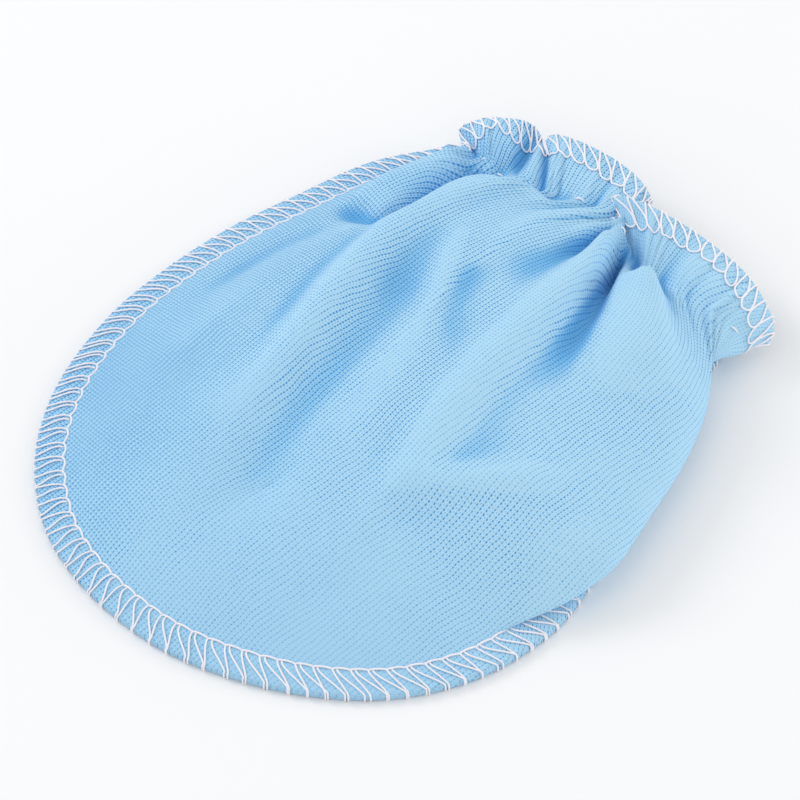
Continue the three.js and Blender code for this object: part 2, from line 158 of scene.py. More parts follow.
# Cut edge of the ruffle: a first lobe, a second one, and a third that is folded back over the second
RUFFLE_EDGE = {
    "columns": "at x y z",
    "rows": [
        (-1.0, -21.0, 43.9, 1.75),
        (-0.93, -22.6, 43.2, 4.9),
        (-0.83, -21.3, 44.4, 7.1),
        (-0.73, -18.4, 46.5, 8.1),
        (-0.63, -15.0, 48.9, 7.8),
        (-0.57, -12.9, 49.6, 6.7),
        (-0.52, -11.5, 49.3, 5.2),
        (-0.47, -10.9, 49.0, 5.6),
        (-0.43, -10.3, 49.3, 7.2),
        (-0.38, -8.6, 49.8, 8.0),
        (-0.27, -3.8, 50.2, 8.6),
        (-0.15, 1.6, 50.2, 8.6),
        (-0.06, 5.6, 49.9, 7.8),
        (0.01, 8.4, 49.0, 6.7),
        (0.05, 9.2, 47.8, 6.7),
        (0.09, 8.2, 46.2, 7.0),
        (0.14, 5.9, 44.2, 7.4),
        (0.18, 5.3, 43.5, 8.8),
        (0.225, 6.9, 43.6, 10.2),
        (0.29, 9.7, 44.3, 10.4),
        (0.34, 12.1, 44.7, 10.2),
        (0.43, 16.3, 45.1, 9.7),
        (0.505, 19.9, 45.1, 9.3),
        (0.59, 23.7, 44.8, 8.9),
        (0.67, 27.4, 44.4, 8.3),
        (0.75, 30.9, 43.4, 7.6),
        (0.81, 33.4, 42.2, 7.0),
        (0.87, 35.9, 40.9, 5.7),
        (0.92, 36.8, 39.6, 4.1),
        (0.965, 35.9, 38.3, 2.9),
        (1.0, 28.6, 39.2, 1.75),
    ],
}

# How far the ruffle puffs out between the elastic and its edge
RUFFLE_PUFF = {
    "columns": "at up",
    "rows": [
        (-1.0, 0.0), (-0.88, -0.9), (-0.76, 2.3), (-0.66, 1.6), (-0.585, -1.9), (-0.5, 2.0), (-0.435, 0.0),
        (-0.36, 0.6), (-0.2, 0.3), (-0.06, 0.5), (0.03, 0.0), (0.14, -0.6), (0.22, -0.2), (0.3, 0.7),
        (0.45, 1.0), (0.6, 1.4), (0.75, 0.8), (0.88, 0.8), (1.0, 0.0),
    ],
}
PUFF_ROUNDNESS = 0.8  # power of the puff's swell from the elastic to the edge
CUFF_CORNERS = {-1: (-24.4, 43.6), 1: (31.2, 39.5)}
LOWER_EDGE_BULGE = 3.4  # how far the under ruffle's edge bows out past the corners

# Folds of the upper panel: how far each stands up or sinks, its half width, the shares of its
# length over which it fades in and out, and the way it runs
FOLDS = {
    "ridge by the left seam": {
        "rise": 2.5, "spread": 2.6, "fade": (0.05, 0.4),
        "route": [(-17.5, 41), (-20, 37), (-23, 31.5), (-26, 26), (-30, 20.5)],
    },
    "valley beside it": {
        "rise": -5.0, "spread": 2.0, "fade": (0.05, 0.12),
        "route": [(-15.2, 39.5), (-16.4, 35.2), (-17.2, 30), (-17.6, 25), (-18.9, 20.2)],
    },
    "arm of that valley towards the seam": {
        "rise": -3.7, "spread": 1.4, "fade": (0.1, 0.5),
        "route": [(-18.2, 20.9), (-21.5, 20.4), (-25.5, 20.8), (-29.5, 22.2)],
    },
    "long ridge to the fingertips": {
        "rise": 3.3, "spread": 3.5, "fade": (0.05, 0.55),
        "route": [
            (-6, 39), (-9.6, 35), (-12.4, 30), (-14.0, 23), (-15.0, 15),
            (-14.6, 5), (-13.2, -8), (-13, -17), (-15, -26), (-19, -40),
        ],
    },
    "small valley above that ridge": {
        "rise": -1.9, "spread": 1.5, "fade": (0.05, 0.5),
        "route": [(-6, 40), (-9.5, 38), (-12.5, 36.4), (-15.5, 34)],
    },
    "broad trough beside it": {
        "rise": -2.4, "spread": 4.9, "fade": (0.2, 0.3),
        "route": [
            (-9, 24), (-7.4, 12), (-5.5, 4), (-4.7, -6.6), (-4.5, -17), (-3.4, -27), (-2.2, -36), (-0.3, -46),
        ],
    },
    "thin ridge in the middle": {
        "rise": 1.4, "spread": 1.7, "fade": (0.3, 0.5),
        "route": [(-7, 25), (-4.4, 17), (-1.2, 10.8), (2, 4.8)],
    },
    "hollow right of the thin ridge": {
        "rise": -1.2, "spread": 1.9, "fade": (0.25, 0.4),
        "route": [(1.5, 20), (1.0, 16), (2.0, 10.5), (4.4, 5), (6.5, 0)],
    },
    "dip below the wrist": {
        "rise": -1.5, "spread": 4.0, "fade": (0.2, 0.6),
        "route": [(6.4, 35), (6.6, 29), (5.6, 23.8), (3.0, 19.9), (-0.4, 18)],
    },
    "narrow crease above that dip": {
        "rise": -2.7, "spread": 1.25, "fade": (0.05, 0.6),
        "route": [(5.4, 40.6), (7.0, 37), (7.8, 32.5), (7.8, 28), (7.0, 23)],
    },
    "finger of cloth by the crease": {
        "rise": 2.9, "spread": 2.7, "fade": (0.1, 0.5),
        "route": [
            (10.6, 38.5), (12.1, 34), (12.7, 28), (12.9, 22), (12.7, 14), (12.6, 5),
            (12.9, -4), (14, -13), (14.2, -21), (13.6, -30), (13, -39),
        ],
    },
    "deep crease": {
        "rise": -6.6, "spread": 1.25, "fade": (0.03, 0.5),
        "route": [(13.8, 39.6), (14.9, 36.4), (15.7, 31.5), (16.5, 26), (17.6, 20), (18.7, 14), (19.4, 9)],
    },
    "hollow that the crease ends in": {
        "rise": -0.7, "spread": 4.0, "fade": (0.3, 0.5),
        "route": [(17.5, 20), (19.5, 11), (22, 4)],
    },
    "bulge on the right": {
        "rise": 2.9, "spread": 6.5, "fade": (0.2, 0.4),
        "route": [(21.5, 33.5), (25, 26.5), (28.5, 18), (32, 10)],
    },
    "ridge across to the right": {
        "rise": 1.4, "spread": 2.9, "fade": (0.15, 0.4),
        "route": [(14.3, -21), (17.7, -17), (21.2, -14), (26.3, -9), (30.4, -5), (34, 1)],
    },
    "slack above the fingertips": {
        "rise": -0.5, "spread": 3.4, "fade": (0.3, 0.5),
        "route": [(19, -33), (16.3, -38.5), (13, -43)],
    },
    "soft ridge on the left": {
        "rise": 0.7, "spread": 3.0, "fade": (0.3, 0.5),
        "route": [(-28, -22), (-27.5, -12), (-26.5, -2), (-24, 8)],
    },
    "slack left of the long ridge": {
        "rise": -0.9, "spread": 2.1, "fade": (0.1, 0.5),
        "route": [(-19.4, 19), (-19.2, 12), (-18.8, 4), (-17.6, -4), (-16, -12), (-13.5, -21)],
    },
    "shoulder below the elastic on the right": {
        "rise": 1.9, "spread": 2.9, "fade": (0.35, 0.3),
        "route": [(17.4, 28.5), (19.6, 31.2), (23, 31.8), (27, 31.2), (31, 29.8)],
    },
    "fullness at the right of the wrist": {
        "rise": 1.3, "spread": 3.6, "fade": (0.1, 0.4),
        "route": [(25.5, 33.5), (27.5, 30), (30, 24), (32.5, 17)],
    },
    "slack along the left seam": {
        "rise": -1.3, "spread": 2.6, "fade": (0.2, 0.4),
        "route": [(-24, 20), (-29.1, 11.1), (-31.8, 2), (-33.4, -8)],
    },
}
FOLD_STEPS = 60  # straight pieces that a fold's route is read in

# The under panel lies flat. Its gathers lift it a little at the wrist and more at the ruffle's edge
UNDER_WAVES = {
    "count": 11,
    "at_elastic": 0.2,
    "at_edge": 1.7,
    "fade": 9,
    "seam_hold": 0.25,
    "unevenness": 0.06,
    "uneven_wave": 5,
}

# Narrow gathers that the elastic presses into the cloth, on top of the large ones
FINE_GATHERS = {
    "count": 34,
    "height": 0.34,
    "reach": 7.0,
    "unevenness": 0.035,
    "uneven_waves": (9.1, 23.7),
    "size": (0.65, 0.35),  # mean, and how much it comes and goes
    "size_wave": 17.3,
    "on_ruffle": 1.6,
}

# Passes that ease the cloth where its rows start to fan and where the roll begins, and the rows over which
# they set in
SMOOTHING = {"passes": 14, "strength": 0.5, "rows": (0.06, 0.2)}

# Hollows of the cloth, where shade is painted into its colour to stand in for light from its own blue walls:
# reach in grid cells along and across, and the depth in millimetres that counts as a full hollow
HOLLOWS = [
    {"reach": (3, 4), "depth": 0.3, "share": 0.6},
    {"reach": (8, 11), "depth": 1.0, "share": 0.5},
]
HOLLOW_BLUR = 3  # how many times its reach a neighbourhood goes
ON_FLANGE = 0.2  # share of the painted hollow shade that the overlocked edge takes
HOLLOW_FROM_SEAM = (0.01, 0.14)  # where the rest grows to all of it, by the share across the body

# The elastic's pinch is rounded over a short way
PINCH = {"passes": 10, "reach": 1.3, "strength": 0.5}

# Threads: their radii, and how round their tubes are
THREAD = {"leg": 0.14, "needle": 0.165, "elastic": 0.15, "roundness": 1}
STITCH_REACH = 1.15  # furthest that a stitch lies in from the cut edge, in widths of the overlocked edge
# A thread's turn round the cut edge, in its radii, and the share of the edge's width that it is aimed by
EDGE_TURN = {"above": 0.7, "beside": 0.5, "out": 1.3, "aim": 0.2}

# Overlock round the hand
SEAM_STITCH = {
    "pitch": 2.5,
    "begins": 0.12,  # share of the pitch
    "pair": 0.66,  # from the first leg of a stitch to the second
    "scallop": (0.42, 0.1),  # how far the needle thread bows in over the cloth, on the left and on the right
    "scallop_changes": (0.3, 0.55),  # shares of the seam's length between which that changes
    "points": 22,  # along a leg
}
SEAM_SPREAD = {"place": 0.06, "lean": 0.14, "begin": 0.04, "end": 0.1}  # standard deviations
# How far the two legs of a stitch lean along the seam on their way out, by the share of the seam's length
SEAM_LEGS = {
    "columns": "at first second",
    "rows": [
        (0.0, 0.0, 2.1),
        (0.13, 0.0, 2.2),
        (0.21, 1.0, 2.1),
        (0.29, 2.0, 2.2),
        (0.39, 0.8, 1.7),
        (0.47, 0.8, 2.3),
        (0.56, 1.0, 2.7),
        (0.7, 1.2, 2.8),
        (1.0, 1.0, 2.2),
    ],
}
# Needle thread of one stitch: shares of the pitch, of the scallop, and of its radius up from the cloth
SEAM_NEEDLE = [(0.0, 0.0, 0.2), (0.2, 0.75, 1.0), (0.5, 1.0, 1.3), (0.8, 0.45, 1.1), (0.95, 0.0, 0.6)]
# Leg on its way out: shares of the edge's width, of the leg's lean, and of its radius up from the cloth
SEAM_LEG_OUT = [(1.0, 0.0, 0.2), (0.8, 0.06, 1.1), (0.55, 0.34, 1.5), (0.3, 0.7, 1.3), (0.06, 1.0, 1.0)]
# Leg on its way back below: lengths along the seam, and shares of the edge's width
SEAM_LEG_BACK = [(0.1, 0.12), (0.5, 0.5), (0.9, 0.95)]

# Overlock of the ruffle. Where a loop begins, its lean and its width are shares of the pitch
CUFF_STITCH = {
    "pitch": 2.4,
    "begins": 0.3,
    "lean": -0.4,
    "width": (1.02, 1.12),
    "thickness": 1.1,
    "rise": 1.15,  # radii up from the cloth at the needle line
    "rise_from": 0.9,  # share of the edge's width
    "points": 34,
}
CUFF_SPREAD = {"place": 0.04, "lean": 0.13}  # standard deviations
CUFF_STEPS = 7  # places across the edge that its surface is read at
# Loop on the upper face: shares of the pitch along the edge, and of the edge's width in from it
CUFF_LOOP = [
    (0.0, 0.05),
    (0.01, 0.3),
    (0.02, 0.6),
    (0.08, 0.86),
    (0.28, 1.03),
    (0.52, 1.07),
    (0.78, 1.02),
    (0.95, 0.86),
    (0.86, 0.6),
    (0.58, 0.34),
    (0.26, 0.05),
]
# Back of the loop, on the under face: lengths along the edge, and shares of the edge's width
CUFF_LOOP_BACK = [(0.4, 0.3), (0.9, 0.85)]

# Stitches of the elastic that show, by the share of the cloth's width
ELASTIC_STITCHES = [-0.9, -0.78, -0.65, -0.42, -0.2, 0.02, 0.12, 0.86]
ELASTIC_STITCH_LENGTH = 1.1
# One of them: shares of half its length, and heights above the cloth
ELASTIC_STITCH = [(-1.0, -0.15), (-0.6, 0.14), (0.0, 0.2), (0.6, 0.14), (1.0, -0.15)]
ELASTIC_STITCH_POINTS = 9

SEED = 11

# Knit
WALE = 0.73  # millimetres from one rib of stitches to the next
COURSE = 0.54  # millimetres from one row of stitches to the next
WALE_LEAN = 12  # degrees between the ribs and the length of the panel
HALVES_MEET = (0.75, 1.0)  # rows over which the two halves' ribs come to agree
STITCH_CLIMB = 0.8  # how steeply a stitch's legs climb, in rows to the rib

# Noise in the cloth: how fine it is to the millimetre, and its detail
CLOTH_NOISE = {
    "rib_sway": (0.16, 2.0),
    "row_sway": (0.4, 1.0),
    "uneven": (1.1, 3.0),
    "patch": (0.09, 2.0),
    "fibre": (6.0, 2.0),
}
SWAY = {"rib": 1.1, "row": 0.5}  # millimetres
UNEVEN = (0.3, 0.75)  # where the noise starts to make a dot deeper and is done
PATCH = (0.3, 0.7)  # the same for whole patches of the cloth

# Dark dots of the knit, along the line between two ribs and down the middle of a rib: where they set in and
# are full, by the share of a rib from its middle and the share of a stitch along it, and how deep they are
DOTS_BETWEEN = {"across": (0.27, 0.46), "along": (0.05, 0.85), "line": 0.12, "dot": 0.5, "uneven": 0.65}
DOTS_MIDDLE = {"across": (0.02, 0.2), "along": (0.05, 0.7), "dot": 0.22, "uneven": 0.35}

# How deep the dots are over the cloth, and how much less or more they are on ridges, in hollows and in places
DOT_DEPTH = {
    "plain": 1.35,
    "patch": 0.75,
    "ridge": 0.45,
    # deeper dots in hollows are painted shade
    "hollow": 0.6,
    "left": 1.75,
    "not_left": 0.9,
    "fingertips": 0.45,
    "right": 0.3,
}
# Those places, in millimetres to the right of the cloth's middle, and along its ribs from the elastic
LEFT = (-34.0, -6.0)
RIGHT = (0.0, 20.0)
FINGERTIPS = (40.0, 75.0)
FINGERTIPS_ASIDE = (-30.0, -10.0)

# Tones of the jersey: its own light blue, and painted shade in hollows, in creases and towards the
# fingertips, with the hollows that bring each shade on and the most of each
JERSEY_TONES = {
    "light": (0.447, 0.72, 0.91, 1),
    "shade": (0.2, 0.52, 0.84, 1),
    "shade_from": (0.05, 1.3),
    "shade_most": 0.8,
    "shade_at_fingertips": 0.2,
    "crease_shade": (0.07, 0.36, 0.74, 1),
    "crease_shade_from": (0.8, 2.2),
    "crease_shade_most": 0.5,
    "deep": (0.05, 0.3, 0.66, 1),
    "ridge_from": (0.25, 0.75),
    "hollow_from": (0.0, 1.0),
}
# Relief of the knit: shares of its height, which is in millimetres
JERSEY_RELIEF = {"rib": 0.6, "stitch": 0.3, "middle": 0.15, "fibre": 0.3, "strength": 0.5, "height": 0.14}
JERSEY_SURFACE = {
    "Roughness": 0.88,
    "Specular IOR Level": 0.2,
    "Sheen Weight": 0.2,
    "Sheen Roughness": 0.4,
    "Sheen Tint": (0.75, 0.9, 1.0, 1),
}

# Sewing thread: its whites, how fine its fibres are to the metre, and their relief in millimetres
THREAD_FINISH = {
    "dark": (0.86, 0.83, 0.9, 1),
    "light": (0.97, 0.96, 0.99, 1),
    "noise": (9000.0, 2.0),
    "strength": 0.3,
    "height": 0.05,
}
THREAD_SURFACE = {"Roughness": 0.6, "Sheen Weight": 0.2}

# Woven elastic: the same, with the millimetres from one rib to the next along it and across it
ELASTIC_FINISH = {
    "dark": (0.7, 0.7, 0.73, 1),
    "light": (0.9, 0.9, 0.92, 1),
    "along": 0.5,
    "across": 0.7,
    "strength": 0.5,
    "height": 0.1,
}
ELASTIC_SURFACE = {"Roughness": 0.8}

TABLE_SIZE = 3  # metres
TABLE_SURFACE = {"Base Color": (0.93, 0.94, 0.95, 1), "Roughness": 0.9}

# The camera stands where the photograph was taken from and looks at the drafting frame's origin. From here on
# distances are in metres
CAMERA = {"azimuth": 38, "elevation": 50, "distance": 0.6, "lens": 189, "sensor": 36}

# Light: a white tent, a broad lamp from the upper left of the picture and a fainter one from its right. A
# lamp's turn is counted in degrees round from the camera
TENT = {"Color": (1, 1, 1, 1), "Strength": 0.86}
LAMPS = {
    "key": {"turn": -120, "elevation": 34, "distance": 1.2, "size": 0.5, "power": 3.4},
    "fill": {"turn": 90, "elevation": 14, "distance": 1.2, "size": 0.7, "power": 2.6},
}


def lerp(a, b, t):
    return a + (b - a) * t


def smoothstep(x, lowest, highest):
    t = np.clip((x - lowest) / (highest - lowest), 0, 1)
    return t * t * (3 - 2 * t)


def unit(vectors):
    return vectors / np.maximum(np.linalg.norm(vectors, axis=-1, keepdims=True), TINY)


def stack(*parts):
    return np.stack(np.broadcast_arrays(*parts), -1)


def spline(points, t):
    """Points at t, from 0 to 1, on a smooth curve through the given points."""
    points = np.asarray(points, float)
    last = len(points) - 1
    place = np.clip(np.asarray(t, float), 0, 1) * last
    i = np.minimum(place.astype(int), last - 1)
    w = (place - i)[..., None]
    before, start, end, after = (points[np.clip(i + k, 0, last)] for k in (-1, 0, 1, 2))
    leaving = (end - before) / 2
    arriving = (after - start) / 2
    cubic = 2 * start - 2 * end + leaving + arriving
    square = 3 * end - 3 * start - 2 * leaving - arriving
    return ((cubic * w + square) * w + leaving) * w + start


class Table:
    """A table with named columns, read between its rows with a cubic by its first column."""

    def __init__(self, columns, rows):
        self.columns = columns.split()
        self.rows = np.array(rows, float)

    def __call__(self, at, names):
        keys = self.rows[:, 0]
        last = len(keys) - 1
        ahead = np.minimum(np.arange(last + 1) + 1, last)
        behind = np.maximum(np.arange(last + 1) - 1, 0)
        i = np.clip(np.searchsorted(keys, at, side="left") - 1, 0, last - 1)
        step = keys[i + 1] - keys[i]
        t = np.clip((at - keys[i]) / step, 0, 1)
        found = []
        for name in names.split():
            values = self.rows[:, self.columns.index(name)]
            slopes = (values[ahead] - values[behind]) / (keys[ahead] - keys[behind])
            t2 = t * t
            t3 = t2 * t
            found.append(
                (2 * t3 - 3 * t2 + 1) * values[i]
                + (t3 - 2 * t2 + t) * step * slopes[i]
                + (3 * t2 - 2 * t3) * values[i + 1]
                + (t3 - t2) * step * slopes[i + 1]
            )
        return found[0] if len(found) == 1 else stack(*found)


crown = Table(**CROWN)


def outline_parameter(side, row):
    tip = FINGERTIP / (len(OUTLINE) - 1)
    return np.where(side < 0, tip * row, 1 - (1 - tip) * row)


def spine_at(row):
    """Where the rows of both sides meet. It stays behind the fingertips."""
    left = spline(OUTLINE, outline_parameter(-1, row))
    right = spline(OUTLINE, outline_parameter(1, row))
    middle = (left + right) / 2
    past = np.maximum(0, SPINE_TURN - middle[..., 1])
    behind = SPINE_SHARE * past * past / (past + SPINE_EASE)
    return stack(middle[..., 0], middle[..., 1] + behind)


def row_frame(side, row):
    """Cut edge, needle line and spine of rows of the cloth."""
    at = outline_parameter(side, row)
    edge = spline(OUTLINE, at)
    spine = spine_at(row)
    inside = np.clip(at, *OUTLINE_ENDS)
    tangent = unit(spline(OUTLINE, inside + OUTLINE_STEP) - spline(OUTLINE, inside - OUTLINE_STEP))
    inward = stack(-tangent[..., 1], tangent[..., 0])
    way = unit(spine - edge)
    crossing = np.maximum(STEEPEST_CROSSING, (way * inward).sum(-1))
    needle = edge + way * (SEAM_WIDTH / crossing)[..., None]
    return edge, needle, spine


def plain_body(side, row, across):
    """The body without folds. across runs from the needle line (0) to the spine (1)."""
    _, needle, spine = row_frame(side, row)
    top = crown(spine[..., 1], "z")
    own = np.where(side < 0, FULLNESS["left"], FULLNESS["right"])
    fullness = lerp(own, FULLNESS["tip"], smoothstep(row, *FULLNESS["tip_rows"]))
    rolled = np.where(side < 0, 0, smoothstep(needle[..., 1], *ROLL["grows"]))
    near_wrist = smoothstep(needle[..., 1], *ROLL["wrist"])
    reach = rolled * lerp(ROLL["reach"], ROLL["wrist_reach"], near_wrist)
    outer = needle + stack(reach, 0 * reach)
    outer_z = SEAM_TOP + rolled * lerp(ROLL["rise"], ROLL["wrist_rise"], near_wrist)
    roll_cells = ROLL["cells"] * rolled
    turn = np.clip(across / np.maximum(roll_cells, TINY), 0, 1)
    swing = smoothstep(turn, 0, 1)
    under = stack(lerp(needle[..., 0], outer[..., 0], swing), needle[..., 1], lerp(SEAM_TOP, outer_z, turn))
    share = np.clip((across - roll_cells) / (1 - roll_cells), 0, 1)
    round_start = 1 - np.cos(share * np.pi / 2)
    move = lerp(share, round_start, ROLL["roundness"] * rolled)[..., None]
    climb = 1 - (1 - share) ** fullness
    plan = lerp(outer, spine, move)
    over = stack(plan[..., 0], plan[..., 1], lerp(outer_z, top, climb))
    return np.where((across < roll_cells)[..., None], under, over)


def fold_height(x, y):
    """How far all the folds together lift points of the upper panel."""
    places = stack(x, y).reshape(-1, 2)
    height = np.zeros(len(places))
    for fold in FOLDS.values():
        route = spline(fold["route"], np.linspace(0, 1, FOLD_STEPS + 1))
        nearest = np.full(len(places), np.inf)
        place = np.zeros(len(places))
        for k in range(FOLD_STEPS):
            along = route[k + 1] - route[k]
            t = np.clip(((places - route[k]) @ along) / (along @ along), 0, 1)
            distance = np.linalg.norm(places - route[k] - t[:, None] * along, axis=1)
            closer = distance < nearest
            nearest = np.where(closer, distance, nearest)
            place = np.where(closer, (k + t) / FOLD_STEPS, place)
        start, end = fold["fade"]
        strength = smoothstep(place, 0, start) * smoothstep(1 - place, 0, end)
        height += fold["rise"] * strength * np.exp(-((nearest / fold["spread"]) ** 2))
    return height.reshape(np.shape(x))


def wrist_end(side):
    return plain_body(np.array(side), np.array(0.0), np.array(0.0))


gathered = Table(
    GATHERS["columns"],
    [(-1, *wrist_end(-1)), *GATHERS["rows"], (1, *wrist_end(1))],
)
ruffled = Table(**RUFFLE_EDGE)
ruffle_puff = Table(**RUFFLE_PUFF)


def cloth_share(side, across):
    return side * (1 - across)


def fine_gather(share):
    """Height of the narrow gathers at a share of the cloth's width."""
    slow, quick = FINE_GATHERS["uneven_waves"]
    uneven = share + FINE_GATHERS["unevenness"] * np.sin(slow * share + 1) * np.sin(quick * share)
    mean, change = FINE_GATHERS["size"]
    size = mean + change * np.sin(FINE_GATHERS["size_wave"] * share + 2)
    return FINE_GATHERS["height"] * size * np.sin(np.pi * FINE_GATHERS["count"] * uneven)


def upper_body(side, row, across):
    """Outer face of the upper panel's body, between the needle lines."""
    point = plain_body(side, row, across)
    start = plain_body(side, 0 * row, across)
    distance = np.linalg.norm(point - start, axis=-1)
    held = np.exp(-((distance / GATHER_LENGTH) ** GATHER_FADE))
    free = smoothstep(across, 0, SEAM_HOLD) * smoothstep(distance, 0, FOLD_START)
    lift = fold_height(point[..., 0], point[..., 1]) * free
    share = cloth_share(side, across)
    point = point + (gathered(share, "x y z") - start) * held[..., None]
    fine_held = np.exp(-((distance / FINE_GATHERS["reach"]) ** 2))
    fine = fine_gather(share) * smoothstep(across, 0, SEAM_HOLD) * fine_held
    point[..., 2] = np.maximum(point[..., 2] + lift + fine, SEAM_TOP)
    return point


def corner(side):
    left = np.array(CUFF_CORNERS[-1])
    right = np.array(CUFF_CORNERS[1])
    return np.where((side < 0)[..., None], left, right)


def seam_plan(side, row, beyond, across):
    """Plan of the overlocked edge. across runs from the cut edge (0) to the needle line (1)."""
    edge, needle, _ = row_frame(side, row)
    needle_end = ruffled(side, "x y")
    start = lerp(edge, corner(side), beyond[..., None])
    end = lerp(needle, needle_end, beyond[..., None])
    return lerp(start, end, across[..., None])


def shares(cells):
    """Side, place along and place across of each vertex of a panel, rows from the ruffle's edge on."""
    rows = cells["ruffle"] + cells["body"]
    columns = 2 * cells["half"]
    i, j = np.meshgrid(np.arange(rows + 1.0), np.arange(columns + 1.0), indexing="ij")
    side = np.where(j <= cells["half"], -1.0, 1.0)
    inset = np.where(side < 0, j, columns - j)
    return {
        "side": side,
        "beyond": np.clip(1 - i / cells["ruffle"], 0, 1),
        "row": np.clip((i - cells["ruffle"]) / cells["body"], 0, 1),
        "seam": inset / cells["seam"],
        "across": np.clip((inset - cells["seam"]) / (cells["half"] - cells["seam"]), 0, 1),
    }


def upper_surface():
    """Outer face of the upper panel, on a grid."""
    at = shares(UPPER_CELLS)
    side, row, beyond, across = at["side"], at["row"], at["beyond"], at["across"]
    on_edge = np.clip(at["seam"], 0, 1)
    plan = seam_plan(side, row, beyond, on_edge)
    flange = stack(plan[..., 0], plan[..., 1], SEAM_TOP - EDGE_SQUEEZE * (1 - on_edge) ** 2)
    share = cloth_share(side, across)
    cloth = lerp(upper_body(side, row, across), ruffled(share, "x y z"), beyond[..., None])
    puff = ruffle_puff(share, "up") * np.sin(np.pi * beyond) ** PUFF_ROUNDNESS
    middle = (1 - beyond) * beyond * FINE_GATHERS["on_ruffle"]
    wave = fine_gather(share) * smoothstep(across, 0, SEAM_HOLD) * middle
    cloth[..., 2] += wave + puff
    points = np.where((at["seam"] < 1)[..., None], flange, cloth)
    return eased(points, at), at


def eased(points, at):
    """The same surface with its small kinks smoothed away, on the body and at the elastic."""
    last = points.shape[0] - 1
    elastic = int(np.argmin(at["beyond"][:, 0] > 0))
    away = np.linalg.norm(points - points[elastic], axis=-1)
    on_cloth = at["seam"] > INSIDE_NEEDLE
    pinch = np.exp(-((away / PINCH["reach"]) ** 2)) * on_cloth
    for _ in range(PINCH["passes"]):
        near = points.copy()
        near[1:-1] = (points[:-2] + points[2:]) / 2
        points = points + (near - points) * (PINCH["strength"] * pinch)[..., None]
    ease = smoothstep(at["row"], *SMOOTHING["rows"]) * (on_cloth & (at["beyond"] <= 0))
    for _ in range(SMOOTHING["passes"]):
        past = points[last - 1, ::-1][None]
        tall = np.concatenate([points[:1], points, past])
        near = (tall[:-2] + tall[2:]) / 2
        near[:, 1:-1] = (near[:, 1:-1] + (points[:, :-2] + points[:, 2:]) / 2) / 2
        points = points + (near - points) * (SMOOTHING["strength"] * ease)[..., None]
    points[last] = (points[last] + points[last, ::-1]) / 2
    return points


def thinned(at):
    """How much thinner a layer is where the stitches squeeze it, up to the cut edge."""
    return EDGE_THINNING * (1 - np.clip(at["seam"], 0, 1)) ** 2


def lower_surface():
    """Upper and under faces of the under panel, on a grid."""
    at = shares(LOWER_CELLS)
    side, row, beyond, across = at["side"], at["row"], at["beyond"], at["across"]
    _, needle, spine = row_frame(side, row)
    flange = seam_plan(side, row, beyond, np.clip(at["seam"], 0, 1))
    end = ruffled(side, "x y")
    middle = (np.array(CUFF_CORNERS[-1]) + np.array(CUFF_CORNERS[1])) / 2 + (0, LOWER_EDGE_BULGE)
    bowed = np.sin(across * np.pi / 2)
    bow = stack(lerp(end[..., 0], middle[0], across), lerp(end[..., 1], middle[1], bowed))
    inner = lerp(lerp(needle, spine, across[..., None]), bow, beyond[..., None])
    on_flange = at["seam"] < 1
    plan = np.where(on_flange[..., None], flange, inner)
    share = cloth_share(side, across)
    from_wrist = row * (OUTLINE[0][1] - OUTLINE[FINGERTIP][1])
    fading = np.exp(-from_wrist / UNDER_WAVES["fade"])
    size = lerp(UNDER_WAVES["at_elastic"], UNDER_WAVES["at_edge"], beyond) * fading
    place = share + UNDER_WAVES["unevenness"] * np.sin(UNDER_WAVES["uneven_wave"] * share)
    wave = size * (0.5 - 0.5 * np.cos(np.pi * UNDER_WAVES["count"] * place))
    wave = wave * smoothstep(across, 0, UNDER_WAVES["seam_hold"])
    near_seam = THREAD_ROOM * (1 - smoothstep(across, 0, THREAD_ROOM_FADE))
    near_edge = CUFF_THREAD_ROOM * (1 - smoothstep(row, *CUFF_LIFT_ENDS))
    lift = np.maximum(np.where(on_flange, THREAD_ROOM, near_seam), near_edge)
    under = stack(plan[..., 0], plan[..., 1], lift + wave)
    top = np.maximum(JERSEY, lift + UNDER_TOP - THREAD_ROOM) - thinned(at)
    over = stack(plan[..., 0], plan[..., 1], top + wave)
    return over, under, at


def grid_normals(points):
    """Upward normals of a grid whose last row is folded together."""
    past = points[-2, ::-1][None]
    tall = np.concatenate([2 * points[:1] - points[1:2], points, past])
    along = tall[2:] - tall[:-2]
    before = 2 * points[:, :1] - points[:, 1:2]
    after = 2 * points[:, -1:] - points[:, -2:-1]
    wide = np.concatenate([before, points, after], 1)
    across = wide[:, 2:] - wide[:, :-2]
    return unit(np.cross(across, -along))


def blurred(points, reach):
    """A grid whose last row is folded together, averaged over bell-shaped neighbourhoods."""
    rows = points.shape[0]
    tall = np.concatenate([points, points[-2::-1, ::-1]])
    for axis, cells in enumerate(reach):
        half = int(HOLLOW_BLUR * cells)
        weights = np.exp(-((np.arange(-half, half + 1) / cells) ** 2) / 2)
        weights /= weights.sum()
        margin = [(0, 0)] * 3
        margin[axis] = (half, half)
        padded = np.pad(tall, margin, mode="reflect", reflect_type="odd")
        count = tall.shape[axis]
        tall = sum(w * np.take(padded, range(k, k + count), axis) for k, w in enumerate(weights))
    return tall[:rows]


def hollows(points, normals, at):
    """How hollow the cloth is at each point: above 0 in a valley, below 0 on a ridge. It sets where shade is
    painted into the jersey.
    """
    found = 0
    for part in HOLLOWS:
        sunk = ((blurred(points, part["reach"]) - points) * normals).sum(-1)
        found = found + part["share"] * sunk / part["depth"]
    near_seam = lerp(ON_FLANGE, 1, smoothstep(at["across"], *HOLLOW_FROM_SEAM))
    return found * np.where(at["seam"] < 1, ON_FLANGE, near_seam)


def cloth_run(flat, axis, part):
    """Millimetres of cloth from each point to the next along an axis, so far as they lead along x or y."""
    step = np.diff(flat, axis=axis)
    plan = np.linalg.norm(step[..., :2], axis=-1)
    share = np.abs(step[..., part]) / np.maximum(plan, TINY)
    return np.linalg.norm(step, axis=-1) * share


